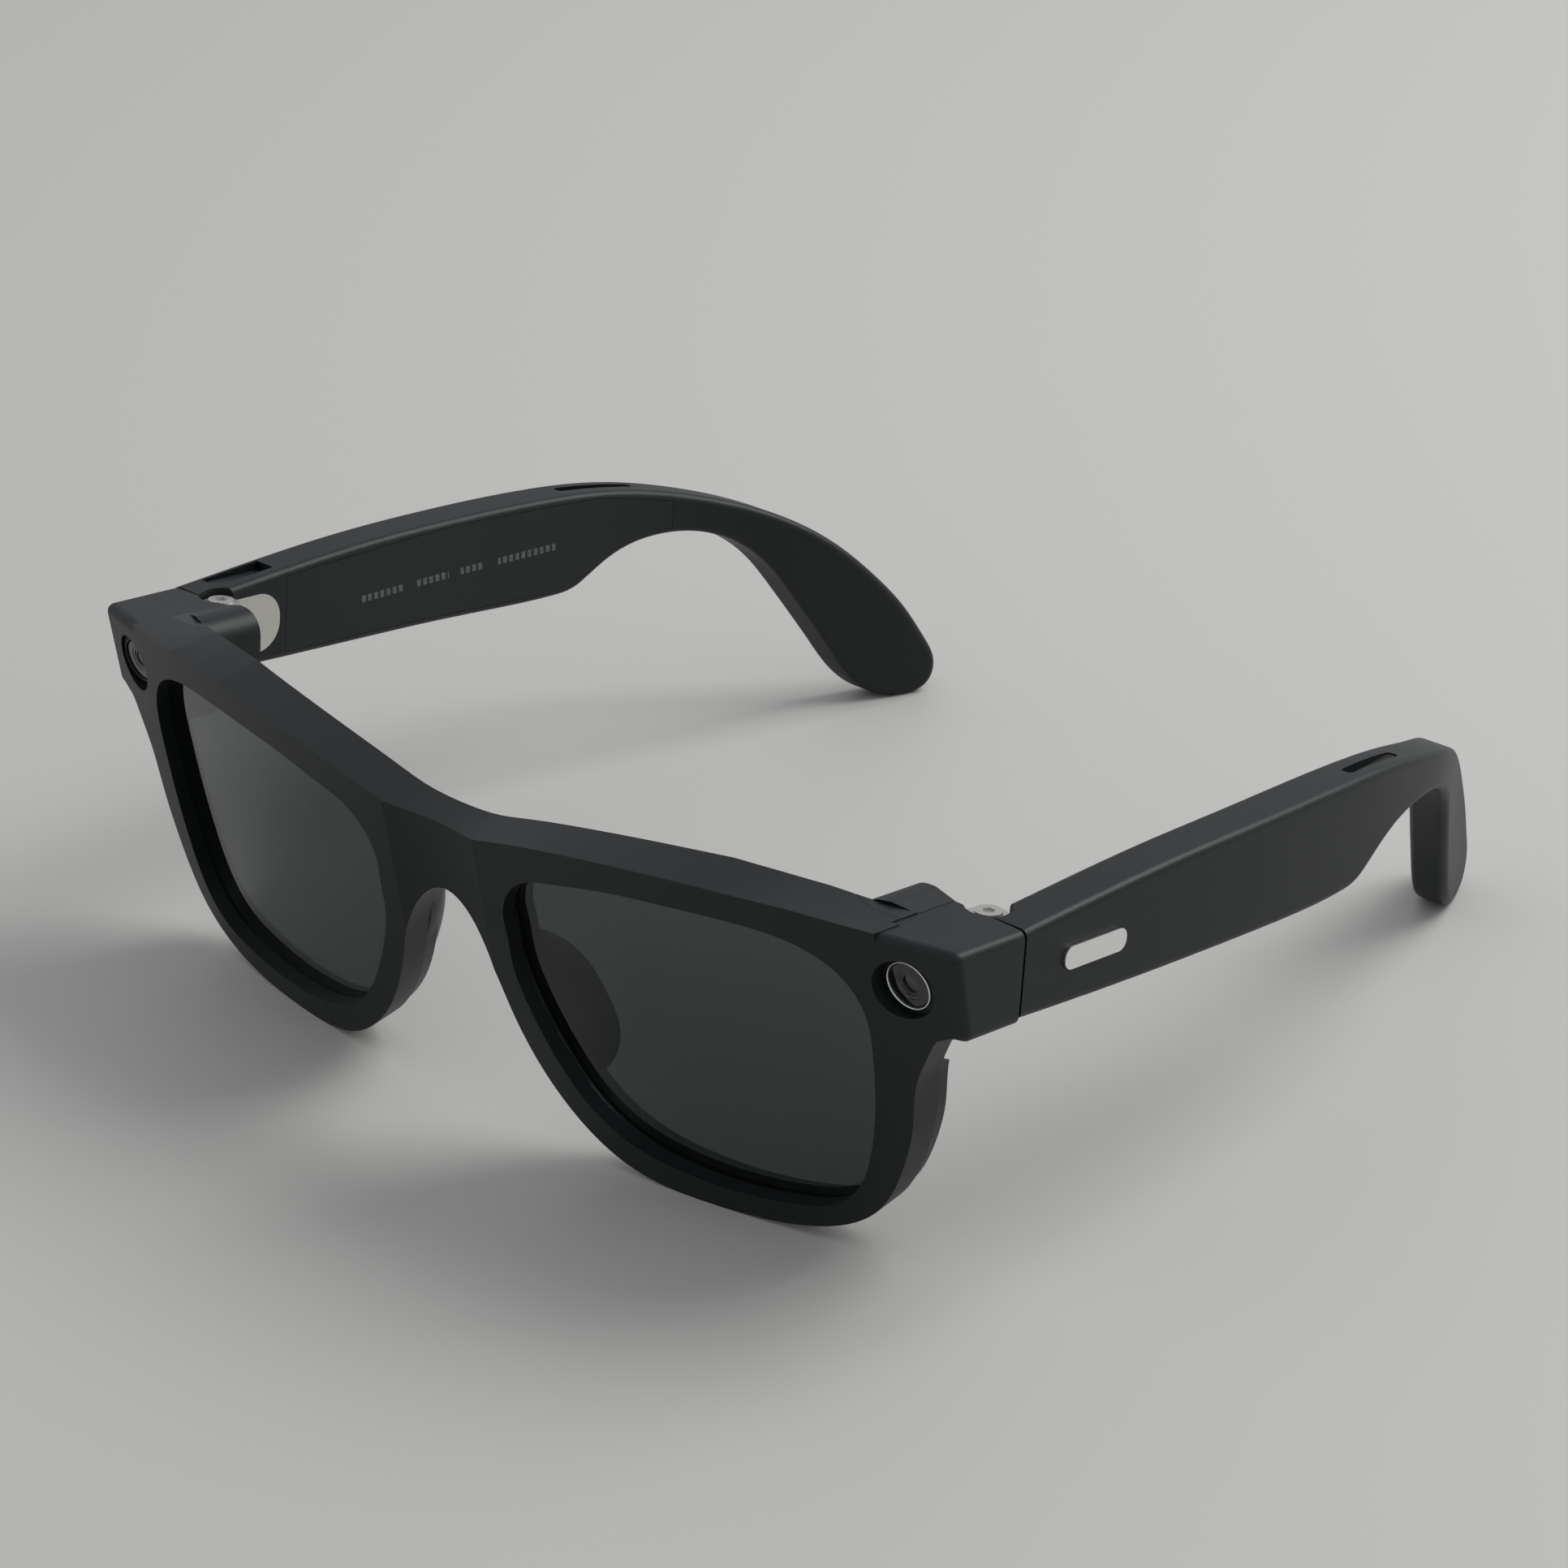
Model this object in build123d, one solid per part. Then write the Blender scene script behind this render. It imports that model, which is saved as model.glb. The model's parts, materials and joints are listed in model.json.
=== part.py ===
"""Smart glasses: thick-rimmed sunglasses with camera, light, open-ear speakers and folding temples.

Millimetres, Z up, X to the wearer's left, Y towards the ears.  The glasses rest on a table on
the bottoms of both rims and on both temple tips, so the front leans with its top forward.
"""
from build123d import *
import math
import os

os.makedirs("parts", exist_ok=True)

# ---- driving dimensions -------------------------------------------------------------------
WIDTH = 150.0            # over the end pieces
LEAN = 9.3               # lean of the front, degrees
BOW_R = 240.0            # radius of the bowed front face, seen from above
FRONT_SHIFT = 1.9        # where the leaned front plane crosses the table
SHELL_T = 4.0            # front shell, thickness of the rims
REAR_T = 2.2             # rear shell behind it
SWELL_R = 190.0          # flatter rear of the brow, seen from above
HOOD = 1.5               # front shell wraps back over the brow by this height
RIM_EDGE = 1.1           # rounding of the outer front edge
LENS_T = 1.9
LENS_SET = 2.0           # lens face behind the front face
LENS_LAP = 0.9           # lens edge hidden behind the rim lip
FIT = 0.06               # free play round a dropped-in piece
END_X = 65.2             # inner side of each end piece
END_Z0 = 34.1            # underside of the end piece at the front face
END_Z1 = 45.9            # top of the end piece at the front face
BROW_END = 46.6          # top of the front where the end piece begins
GAP_Y = 17.6             # rear face of the end piece
FOLD_GAP = 0.35          # air between end piece and temple

PAD_X = 12.6             # nose pad: middle, height, tilt and depth behind the front face
PAD_Z = 18.2
PAD_TURN = 27.8
PAD_DEPTH = 10.2

EYE_X = 67.9             # camera and light centre from the middle
EYE_Z = 39.7
EYE_D = 5.7              # glass disc
RING_D = 6.3             # trim ring outside
DISH_D = 7.7             # recess round it
DISH_T = 1.25
EYE_TURN = 4.0           # camera and light look almost straight ahead
EYE_SET = 0.9            # ring front behind the face at its centre

AXIS_X = 67.6            # hinge axis
AXIS_Y = 19.7
AXIS_Z = 39.0
TEMPLE_DROP = 5.5        # slope of the temple, degrees
KNUCKLE_R = 2.5
PIN_D = 1.6
PIN_CLEAR = 0.03         # radial running fit
KNUCKLE_Z = (34.6, 36.7, 36.8, 40.9, 41.0, 43.3)   # lower, middle, upper knuckle ends
HEAD_D = 3.4             # screw head
HEAD_T = 0.5
TEMPLE_T = 6.6
WALL = 1.3
POCKET_R = KNUCKLE_R + 0.4

BUTTON_U = (2.2, 11.0)   # capture button along the temple
BUTTON_W = 2.6
BUTTON_SIDE = 0.35       # air round the button
BUTTON_TRAVEL = 0.4
BUTTON_TOP = 44.2
SWITCH_U = 20.0          # power switch along the temple
SWITCH_TRAVEL = 2.0
SWITCH_L = 4.0
SWITCH_H = 2.4
SLOT_U = (63.0, 76.0)    # speaker slot along the temple
SLOT_W = 1.6

# ---- outlines: X and height up the leaned front, as it stands on the table --------------------
BROW = [(0, 41.9), (2, 41.93), (6, 42.2), (12, 43.4), (20, 44.8), (30, 46.0), (42, 46.8), (54, 47.1),
        (66, BROW_END), (WIDTH / 2, END_Z1)]
SIDE = [(73.2, 34.6), (72.2, 34.2), (71.4, 33.6), (70.8, 32.8), (70.0, 31.2), (68.2, 27.0), (66.9, 20.0), (65.2, 14.3), (63.3, 10.0),
        (60.7, 6.3), (57.8, 4.0), (52.6, 1.8), (41, 0.15), (35, 0.0), (25, 1.5), (19.5, 4.7),
        (16.6, 7.4), (14.2, 10.3), (12.0, 13.8), (9.8, 18.6), (8.4, 22.6), (7.2, 25.5),
        (6.2, 27.3), (5.1, 28.9), (4.0, 30.1), (2.4, 31.3), (1.2, 31.8), (0, 32.0)]
EYE = [(11.3, 31.0), (12.2, 35.6), (15.4, 38.8), (20.5, 40.3), (28.5, 41.8), (38, 42.7),
       (48, 43.1), (55.2, 42.3), (60.2, 39.6), (62.6, 35.6), (63.1, 29), (62.4, 21), (60.9, 14),
       (58.9, 9.3), (55.6, 6.0), (50, 4.2), (42, 3.3), (33.5, 3.5), (26.5, 4.9), (20.8, 8.2),
       (16.2, 14.0), (12.8, 20.8), (11.4, 26.5)]
TOP_EDGE = [(-1.75, 44.1), (10.3, 45.2), (25.2, 46.3), (41, 46.8), (58.4, 46.9), (68.4, 46.5),
            (76, 45.6), (84.8, 43.8), (91.4, 42.0), (98, 39.4), (104.6, 35.4), (110.8, 29.9),
            (115.2, 25), (118.8, 19.6)]
TIP_EDGE = [(118.8, 19.6), (120.5, 15.6), (119.4, 12.3), (116, 11.0), (112, 11.4),
            (107.6, 14.7), (104.4, 19.3)]
UNDER_EDGE = [(104.4, 19.3), (101.2, 24.2), (98.2, 28.7), (95.2, 32.7), (91, 36.2),
              (86.2, 38.1), (79.2, 38.6), (74, 37.7), (70, 36.0), (66.6, 33.9)]
PLAN_OUT = [(75, -1.75), (75, 12), (74.9, 27), (74.5, 42), (73.4, 58), (72.2, 68), (70.3, 78),
            (67.3, 88), (63.5, 96), (59.1, 104), (55.0, 112), (52.2, 118), (49.8, 124)]
CAVITY = [(13, 34.4), (61, 33.8), (66, 36.4), (70.5, 39.0), (77, 40.1), (77, 43.9), (68, 44.9),
          (42, 45.2), (13, 43.5)]
COVER = [(12.2, 33.7), (62.6, 32.9), (67.6, 35.6), (72, 38.1), (80.5, 39.6), (80.5, 43.6),
         (68, 45.7), (42, 46.0), (12.2, 44.4)]


def lean(shape):
    """Tip a piece of the upright front forward onto its resting lean."""
    return Pos(0, FRONT_SHIFT, 0) * Rot(LEAN, 0, 0) * shape


def settle(shape):
    """Bring a piece of the level temple onto the sloping hinge axis of the wearer's left."""
    return Pos(AXIS_X, AXIS_Y, AXIS_Z) * Rot(-TEMPLE_DROP, 0, 0) * Pos(-AXIS_X, 0, -AXIS_Z) * shape


def other_side(shape):
    """The mirror piece on the wearer's right."""
    return mirror(shape, about=Plane.YZ)


def plate_xz(edges, y0, y1):
    """Solid between two depths from edges drawn in X and Z."""
    face = make_face(Plane.XZ * edges)
    return Pos(0, y1, 0) * extrude(face, y1 - y0, dir=(0, -1, 0))


def disc_between(r_out, r_in):
    """Tall curved slab between two cylinders round the bow centre."""
    centre = Pos(0, BOW_R, 25)
    return centre * Cylinder(r_out, 120) - centre * Cylinder(r_in, 140)


def bowed(d0, d1):
    """Slab following the bowed front between two depths behind its face."""
    keep = Pos(0, 20, 25) * Box(220, 90, 110)
    return disc_between(BOW_R - d0, BOW_R - d1) & keep


def depth_at(x):
    """Depth of the bowed front face at a distance from the middle."""
    return BOW_R - math.sqrt(BOW_R * BOW_R - x * x)


def upright(points):
    """Heights on the leaned bow turned into heights on the upright front."""
    return [(x, z - depth_at(x) * math.tan(math.radians(LEAN))) for x, z in points]


def level_height(x, z):
    """Height in the level temple frame of a point given on the leaned front face."""
    rise = z * math.cos(math.radians(LEAN))
    y = FRONT_SHIFT + depth_at(x) - rise * math.tan(math.radians(LEAN))
    drop = math.radians(TEMPLE_DROP)
    return AXIS_Z + (y - AXIS_Y) * math.sin(drop) + (rise - AXIS_Z) * math.cos(drop)


def moved_out(points, amount, closed=False):
    """Points of a clockwise outline moved outward, square to the line through their neighbours."""
    out, last = [], len(points) - 1
    for i, (x, z) in enumerate(points):
        a = points[i - 1] if i or closed else points[0]
        b = points[0] if i == last and closed else points[min(i + 1, last)]
        length = math.hypot(b[0] - a[0], b[1] - a[1])
        out.append((x - amount * (b[1] - a[1]) / length, z + amount * (b[0] - a[0]) / length))
    return out


def front_outline(inset=0.0):
    """Half outline of the front, closed on the middle plane, moved inward where asked."""
    top, low = upright(BROW), upright(SIDE)
    if inset:
        top, low = moved_out(top, -inset), moved_out(low, -inset)
        top[0], low[-1] = (0, top[0][1]), (0, low[-1][1])
    corner = (top[-1][0], low[0][1] + 1.0)
    brow, side = Spline(top), Spline(low)
    return make_face(Curve() + [brow, Line(top[-1], corner), Line(corner, low[0]), side,
                                Line(low[-1], top[0])])


def eye_outline(grow=0.0):
    """Outline of one lens opening, grown outward all round."""
    return make_face(Spline(moved_out(upright(EYE), grow, closed=True), periodic=True))


def through(face2d, y0=-20, y1=60):
    """Push an X-Z face through the depth of the front."""
    face = Plane.XZ * face2d
    return Pos(0, y1, 0) * extrude(face, y1 - y0, dir=(0, -1, 0))


def at_eye():
    """Place on the front face at the camera or the light, looking almost straight ahead."""
    height = upright([(EYE_X, EYE_Z)])[0][1]
    return Pos(EYE_X, depth_at(EYE_X), height) * Rot(0, 0, EYE_TURN)


def eye_disc(d_out, y0, y1, d_in=0.0):
    """Round piece on the axis of the camera, between two depths behind the face."""
    mid = (y0 + y1) / 2
    body = Pos(0, mid, 0) * Rot(90, 0, 0) * Cylinder(d_out / 2, y1 - y0)
    if d_in:
        body -= Pos(0, mid, 0) * Rot(90, 0, 0) * Cylinder(d_in / 2, y1 - y0 + 1)
    return body


def ahead_of_face():
    """Everything in front of the bowed and leaned front face."""
    keep = Pos(0, 0, 25) * Box(260, 160, 160)
    return lean(keep - Pos(0, BOW_R, 25) * Cylinder(BOW_R, 200))


def end_profile(points):
    """Closed polygon of the end piece in the level frame from points on the leaned face."""
    line = [(x, level_height(x, h)) for x, h in points]
    return Polyline(line + line[:1])


def end_block():
    """Solid end piece from the bowed face back to the hinge gap, along the temple."""
    inner = END_X - 1
    line = end_profile([(inner, END_Z0 - 2.5), (69.2, END_Z0 - 2.5), (70.6, END_Z0 - 0.9),
                        (72.4, END_Z0), (WIDTH / 2, END_Z0), (WIDTH / 2, END_Z1), (inner, BROW_END)])
    body = settle(plate_xz(line, -26, GAP_Y - AXIS_Y)) - ahead_of_face()
    body = max(body.solids(), key=lambda solid: solid.volume)
    edges = [e for e in body.edges() if is_end_edge(e)]
    return soften(body, edges, RIM_EDGE, 0.8, 0.5, 0.3)


def is_end_edge(edge):
    """True for the outer edges of the end piece, without its rear rim and its inner side."""
    c = edge.center()
    return c.X > END_X and c.Y < 15 and not (c.X < 73.0 and c.Z < END_Z0 + 2)


def end_space():
    """Part of the rim that the end piece takes over."""
    line = end_profile([(END_X, END_Z0 - 1.6), (69.8, END_Z0 - 1.6), (71.2, END_Z0),
                        (72.6, END_Z0 + 0.9), (WIDTH, END_Z0 + 0.9), (WIDTH, 60), (END_X, 60)])
    return settle(plate_xz(line, -40, 30))


def ceiling():
    """Space over the brow, from the rising top of the rim to the falling top of the end piece."""
    sections = ((42.0, 1.0), (48.0, 0.75), (54.0, 0.45), (60.0, 0.15), (66.4, 0.0))
    faces = []
    for x, share in sections:
        height = [z for bx, z in BROW if bx <= x][-1]
        ahead = [(bx, z) for bx, z in BROW if bx >= x][0]
        behind = [(bx, z) for bx, z in BROW if bx <= x][-1]
        span = max(ahead[0] - behind[0], 1e-6)
        height = behind[1] + (ahead[1] - behind[1]) * (x - behind[0]) / span
        rise = upright([(x, height)])[0][1]
        a = math.radians(LEAN)
        y = FRONT_SHIFT + depth_at(x) * math.cos(a) - rise * math.sin(a)
        z = depth_at(x) * math.sin(a) + rise * math.cos(a)
        slope = math.radians(share * LEAN - (1 - share) * TEMPLE_DROP)
        dy, dz = math.cos(slope), math.sin(slope)
        line = [(y - 4 * dy, z - 4 * dz), (y + 26 * dy, z + 26 * dz), (y + 26 * dy, 80), (y - 4 * dy, 80)]
        faces.append(Pos(x, 0, 0) * make_face(Plane.YZ * Polyline(line + line[:1])))
    return loft(faces, ruled=True)


def soften(shape, edges, *radii):
    """Round edges with the first radius that the shape accepts."""
    for r in radii:
        try:
            out = fillet(edges, r)
            if out.is_valid:
                return out
        except Exception:
            pass
    return shape


# ---- front --------------------------------------------------------------------------------
def brow_swell():
    """Slab between the back of the front shell and the flatter rear of the brow."""
    slab = disc_between(BOW_R - SHELL_T, 100) - Pos(0, SHELL_T + REAR_T - 0.2 + SWELL_R, 25) * Cylinder(SWELL_R, 140)
    return slab & (Pos(0, 20, 25) * Box(2 * END_X - 2, 90, 110))


def hood(play=0.0):
    """Lip of the front shell that wraps back over the brow to its full depth."""
    line = [(x, z - HOOD - play) for x, z in BROW[:-1]]
    low = upright(line)
    top = [(x, z + 8) for x, z in low]
    edges = Curve() + [Spline(low), Line(low[-1], top[-1]), Polyline(top[::-1]), Line(top[0], low[0])]
    return through(make_face(edges)) & brow_swell()


def front_half():
    """Wearer's left half of the front shell: rim and half bridge."""
    outline = through(front_outline())
    rim = outline & bowed(0, SHELL_T)
    rim -= Pos(0, -30 + 1.2, 25) * Cylinder(30, 80)
    rim += outline & hood()
    body = lean(rim - through(eye_outline())) - ceiling()
    body = max(body.solids(), key=lambda solid: solid.volume)
    corner = [e for e in body.edges() if is_front_edge(e)]
    body = soften(body, corner, RIM_EDGE, 0.8, 0.5, 0.3)
    body -= lean(through(eye_outline(LENS_LAP + FIT)) & bowed(LENS_SET, SHELL_T + 0.2))
    return body - end_space()


def is_front_edge(edge):
    """True for an edge of the bowed and leaned front face that is off the middle plane."""
    a = math.radians(LEAN)
    for share in (0.1, 0.5, 0.9):
        p = edge @ share
        deep = (p.Y - FRONT_SHIFT) * math.cos(a) + p.Z * math.sin(a)
        if abs(deep - depth_at(abs(p.X))) > 0.05:
            return False
    return edge.center().X > 9.0


def eye_room():
    """Hollow of the end piece with the bore for the camera or the light."""
    wide = 73.6 - END_X
    room = settle(Pos(END_X + wide / 2 - 1, -7.6, 38.4) * Box(wide + 2, 8.2, 8.9))
    room &= lean(bowed(EYE_SET + 1.6, 30))
    dish = at_eye() * eye_disc(DISH_D, -3, DISH_T)
    bore = at_eye() * eye_disc(RING_D + 2 * FIT, -3, 6)
    return room + lean(dish + bore)


def hinge_relief():
    """Round relief for the knuckles in the rear of the end piece, on the sloping axis."""
    return settle(Pos(AXIS_X, 0, 40) * Cylinder(POCKET_R, 30))


def front_frame():
    """Front shell: both rims, the bridge and both end pieces in one moulding."""
    half = front_half() + end_block() - eye_room()
    half = half - hinge_relief() - front_leaf_plate()
    return half + other_side(half)


def rear_half():
    """Left half of the rear shell, a little smaller than the front shell."""
    line = front_outline(0.5)
    rim = through(line) & bowed(SHELL_T, SHELL_T + REAR_T)
    brow = Polyline([(0, 36.0), (8, 37.0), (13, 41.2), (30, 42.3), (54, 41.9), (60, 38.0),
                     (66, 36), (66, 50), (0, 50), (0, 36.0)])
    body = rim + (through(line) & plate_xz(brow, -5, 60) & brow_swell())
    body -= through(eye_outline(0.25))
    body = soften(body, [e for e in body.edges() if is_rear_edge(e)], 0.7, 0.4)
    body -= flex_strip(0.08) + hood(FIT)
    return max(body.solids(), key=lambda solid: solid.volume)


def is_rear_edge(edge):
    """True for the rear outer edges of the rim, away from the brow and the cut ends."""
    c = edge.center()
    deep = abs(c.Y - depth_at(abs(c.X)) - SHELL_T - REAR_T) < 0.25
    return deep and c.Z < 34 and c.X > 2 and edge.length > 20


def flex_strip(play=0.0):
    """Ribbon between the two shells, under the hood of the brow."""
    line = BROW[:-2] + [(63.0, 46.8)]
    top = upright([(x, z - HOOD - 0.2 + play) for x, z in line])
    low = upright([(x, z - HOOD - 1.4 - play) for x, z in line])
    edges = Curve() + [Spline(top), Line(top[-1], low[-1]), Spline(low), Line(low[0], top[0])]
    return through(make_face(edges)) & bowed(SHELL_T, SHELL_T + 0.3 + play)


def rear_frame():
    """Rear shell of the front, closing the lens grooves and the ribbon channel."""
    clear = end_profile([(END_X - 1, 28), (69.2, 28), (70.6, 32), (WIDTH, 32), (WIDTH, 60), (END_X - 1, 60)])
    half = lean(rear_half()) - settle(plate_xz(clear, -40, 30)) - ceiling()
    both = half + other_side(half)
    return both - contact_block(0.0)


def lens():
    """Bowed lens of the wearer's left, held between the two shells."""
    return lean(through(eye_outline(LENS_LAP)) & bowed(LENS_SET, LENS_SET + LENS_T))


def nose_pad():
    """Pad on the rear shell beside the nose, flaring outward towards the face."""
    sections = [(4.6, 0.0, 3.6, 19.5), (7.4, 0.9, 4.2, 19.5), (9.6, 2.2, 3.2, 15.0),
                (PAD_DEPTH + 0.6, 2.9, 1.6, 9.0)]
    faces = []
    for depth, out, wide, tall in sections:
        place = Pos(PAD_X + out, depth, PAD_Z) * Rot(0, -PAD_TURN, 0)
        faces.append(place * (Plane.XZ * Ellipse(wide / 2, tall / 2)))
    body = loft(faces)
    ahead = bowed(-20, SHELL_T) + (through(front_outline(0.5)) & bowed(-5, SHELL_T + REAR_T))
    return lean(max((body - ahead).solids(), key=lambda solid: solid.volume))


def contact_block(shrink):
    """Block on the rear of the bridge that carries the charging pads."""
    box = Box(11.0 - shrink, 1.4, 3.6 - shrink)
    return lean(Pos(0, 6.3, 38.6) * box)


def charge_contacts():
    """Two small pads in their block on the rear of the bridge."""
    pads = [lean(Pos(x, 7.05, 38.6) * Rot(90, 0, 0) * Cylinder(0.9, 0.3)) for x in (-2.8, 0.0, 2.8)]
    body = contact_block(0.1)
    for pad in pads:
        body += pad
    return body


def camera_ring():
    """Bright trim ring round the camera glass."""
    return lean(at_eye() * eye_disc(RING_D, EYE_SET, EYE_SET + 2.0, EYE_D + 2 * FIT))


def camera_window():
    """Flat glass in front of the camera."""
    return lean(at_eye() * eye_disc(EYE_D, EYE_SET + 0.25, EYE_SET + 1.0))


def camera_barrel():
    """Lens barrel with its opening behind the glass."""
    face = EYE_SET + 1.0
    body = eye_disc(EYE_D, face, face + 3.3)
    body -= eye_disc(3.4, face - 0.1, face + 0.9)
    body -= eye_disc(1.8, face - 0.1, face + 2.1)
    return lean(at_eye() * body)


def camera_module():
    """Sensor box behind the barrel."""
    return lean(at_eye() * (Pos(0.2, EYE_SET + 5.8, -0.5) * Box(5.4, 3.0, 5.8)))


def light_window():
    """Dark glass of the status light, same size as the camera glass."""
    return other_side(lean(at_eye() * eye_disc(EYE_D, EYE_SET + 0.25, EYE_SET + 1.0)))


def light_ring():
    """Dark trim ring round the light glass."""
    ring = eye_disc(RING_D, EYE_SET, EYE_SET + 2.0, EYE_D + 2 * FIT)
    return other_side(lean(at_eye() * ring))


def light_guide():
    """Light guide behind the dark glass."""
    face = EYE_SET + 1.0
    guide = eye_disc(EYE_D, face, face + 1.7) + eye_disc(3.0, face + 1.7, face + 3.3)
    return other_side(lean(at_eye() * guide))


def light_board():
    """Small board with the light source."""
    board = Pos(0.2, EYE_SET + 4.7, 0) * Box(5.4, 0.8, 6.4)
    chip = Pos(0.8, EYE_SET + 5.5, 1.0) * Box(2.0, 0.9, 1.6)
    return other_side(lean(at_eye() * (board + chip)))


def front_flex():
    """Ribbon that joins the camera and the light across the brow."""
    half = lean(flex_strip())
    return half + other_side(half)


def bridge_mic():
    """Tiny gauze disc of the microphone under the bridge."""
    return lean(Pos(0, 5.2, 31.2) * Cylinder(0.8, 1.0))


def hinge_block():
    """Low rounded housing behind the brow that takes the hinge leaf."""
    u1 = GAP_Y - AXIS_Y
    x0, x1 = 57.0, END_X - 1.0
    line = [(x0, 33.6), (x0, 45.0), (61.2, 45.2), (x1, level_height(x1, BROW_END) + 0.05), (x1, 33.6)]
    box = plate_xz(Polyline(line + line[:1]), u1 - 16, u1)
    box = fillet([e for e in box.edges().filter_by(Axis.Y) if e.center().Z > 44 and e.center().X < 58], 3.2)
    box = fillet([e for e in box.edges().filter_by(Axis.Y) if e.center().Z > 45 and e.center().X < 62], 2.0)
    box = fillet([e for e in box.edges().filter_by(Axis.Y) if e.center().Z < 34], 1.2)
    swell = Pos(0, SHELL_T + REAR_T - 0.2 + SWELL_R, 25) * Cylinder(SWELL_R, 140)
    brow = through(front_outline()) & (disc_between(400, 100) - swell)
    shell = disc_between(400, BOW_R - SHELL_T - REAR_T)
    body = settle(box) - lean(brow + shell) - lean(through(eye_outline(0.25)) & bowed(-5, 9))
    body -= hinge_relief() + front_leaf_plate()
    return max(body.solids(), key=lambda solid: solid.volume)


def front_leaf_plate():
    """Plate of the front hinge leaf, let into the rear of the end piece and the housing."""
    u1 = GAP_Y - AXIS_Y
    plate = Pos(64.6, u1 - 0.5, 39.1) * Box(8.0, 1.0, 7.6)
    return settle(plate)


def knuckle(z0, z1, radius=KNUCKLE_R):
    """Barrel of the hinge between two heights on the axis."""
    return Pos(AXIS_X, 0, (z0 + z1) / 2) * Cylinder(radius, z1 - z0)


def front_leaf():
    """Front hinge leaf: plate and the two outer knuckles."""
    z = KNUCKLE_Z
    u1 = GAP_Y - AXIS_Y
    middle = Pos(AXIS_X, 0, (z[1] + z[4]) / 2) * Cylinder(POCKET_R, z[4] - z[1])
    body = Pos(64.6, u1 - 0.5, 39.1) * Box(8.0, 1.0, 7.6) - middle
    for low, high in ((z[0], z[1]), (z[4], z[5])):
        arm = Pos(AXIS_X - 1.1, u1 / 2, (low + high) / 2) * Box(2.8, -u1, high - low)
        body += knuckle(low, high) + arm
    body -= Pos(AXIS_X, 0, 40) * Cylinder(PIN_D / 2, 30)
    return settle(body)


def hinge_screw():
    """Pivot screw with a six-lobe head on the upper knuckle."""
    z = KNUCKLE_Z
    body = knuckle(z[0] + 0.1, z[5], PIN_D / 2) + knuckle(z[5], z[5] + HEAD_T, HEAD_D / 2)
    top = z[5] + HEAD_T
    drive = knuckle(top - 0.3, top + 0.2, 0.62)
    for k in range(6):
        a = math.radians(60 * k)
        lobe = Pos(AXIS_X + 0.62 * math.cos(a), 0.62 * math.sin(a), top - 0.05)
        drive += lobe * Cylinder(0.2, 0.5)
    return settle(body - drive)


# ---- temples, built level on an upright axis ----------------------------------------------
def taper(u):
    """Share of the full thickness left at a distance along the temple."""
    return 1.0 - 0.22 * min(max((u - 55.0) / 60.0, 0.0), 1.0)


def plan_curve(inward):
    """Points of the outer plan line moved inward, less where the temple is thinner."""
    points = []
    for i, (x, u) in enumerate(PLAN_OUT):
        x0, u0 = PLAN_OUT[max(i - 1, 0)]
        x1, u1 = PLAN_OUT[min(i + 1, len(PLAN_OUT) - 1)]
        length = math.hypot(x1 - x0, u1 - u0)
        step = inward * taper(u)
        points.append((x - step * (u1 - u0) / length, u + step * (x1 - x0) / length))
    return points


def strip(a, b, z0=-5, z1=60):
    """Upright curved slab between two distances inward from the outer face."""
    outer, inner = plan_curve(a), plan_curve(b)
    edges = Curve() + [Spline(outer), Line(outer[-1], inner[-1]), Spline(inner),
                       Line(inner[0], outer[0])]
    return Pos(0, 0, z0) * extrude(make_face(edges), z1 - z0, dir=(0, 0, 1))


def side_view(points_or_edges):
    """Solid pushed through the temple from a side outline of distance and height."""
    face = make_face(Plane.YZ * points_or_edges)
    return Pos(30, 0, 0) * extrude(face, 60, dir=(1, 0, 0))


def temple_profile():
    """Side outline of the temple from the hinge to the rounded tip."""
    u0 = GAP_Y - AXIS_Y + FOLD_GAP
    top = [(u0, 44.1)] + TOP_EDGE[1:]
    low = [UNDER_EDGE[-1], (64.3, 32.7), (61.0, 32.2), (51, 32.1), (41, 32.3), (26, 32.5), (u0, 33.1)]
    edge = Spline(top + TIP_EDGE[1:] + UNDER_EDGE[1:-1] + low)
    return Curve() + [edge, Line(low[-1], top[0])]


def temple_body():
    """Full temple, rounded along its edges."""
    body = strip(0, TEMPLE_T) & side_view(temple_profile())
    long_edges = [e for e in body.edges() if e.length > 9 and e.center().Y > 5]
    return soften(body, long_edges, 1.0, 0.8, 0.6, 0.4)


def cover(body):
    """Inner cover of the hollow part, cut from the full temple."""
    return body & strip(TEMPLE_T - WALL, TEMPLE_T + 1) & side_view(Polyline(COVER + COVER[:1]))


def cavity():
    """Hollow behind the inner cover."""
    return strip(WALL, TEMPLE_T - WALL) & side_view(Polyline(CAVITY + CAVITY[:1]))


def leaf_plate():
    """Plate of the temple hinge leaf, set flush in the inner face."""
    plate = Pos(AXIS_X + 0.8 + 0.5, 7.0, 38.7) * Box(1.0, 8.0, 8.2)
    ends = [e for e in plate.edges().filter_by(Axis.X) if e.center().Y > 9]
    return fillet(ends, 3.8)


def temple_leaf():
    """Temple hinge leaf: plate, arm and middle knuckle."""
    z0, z1 = KNUCKLE_Z[2], KNUCKLE_Z[3]
    arm = Pos(AXIS_X + 0.55, 1.9, (z0 + z1) / 2) * Box(2.5, 3.8, z1 - z0)
    body = leaf_plate() + arm + knuckle(z0, z1)
    return body - Pos(AXIS_X, 0, 40) * Cylinder(PIN_D / 2 + PIN_CLEAR, 30)


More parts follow.
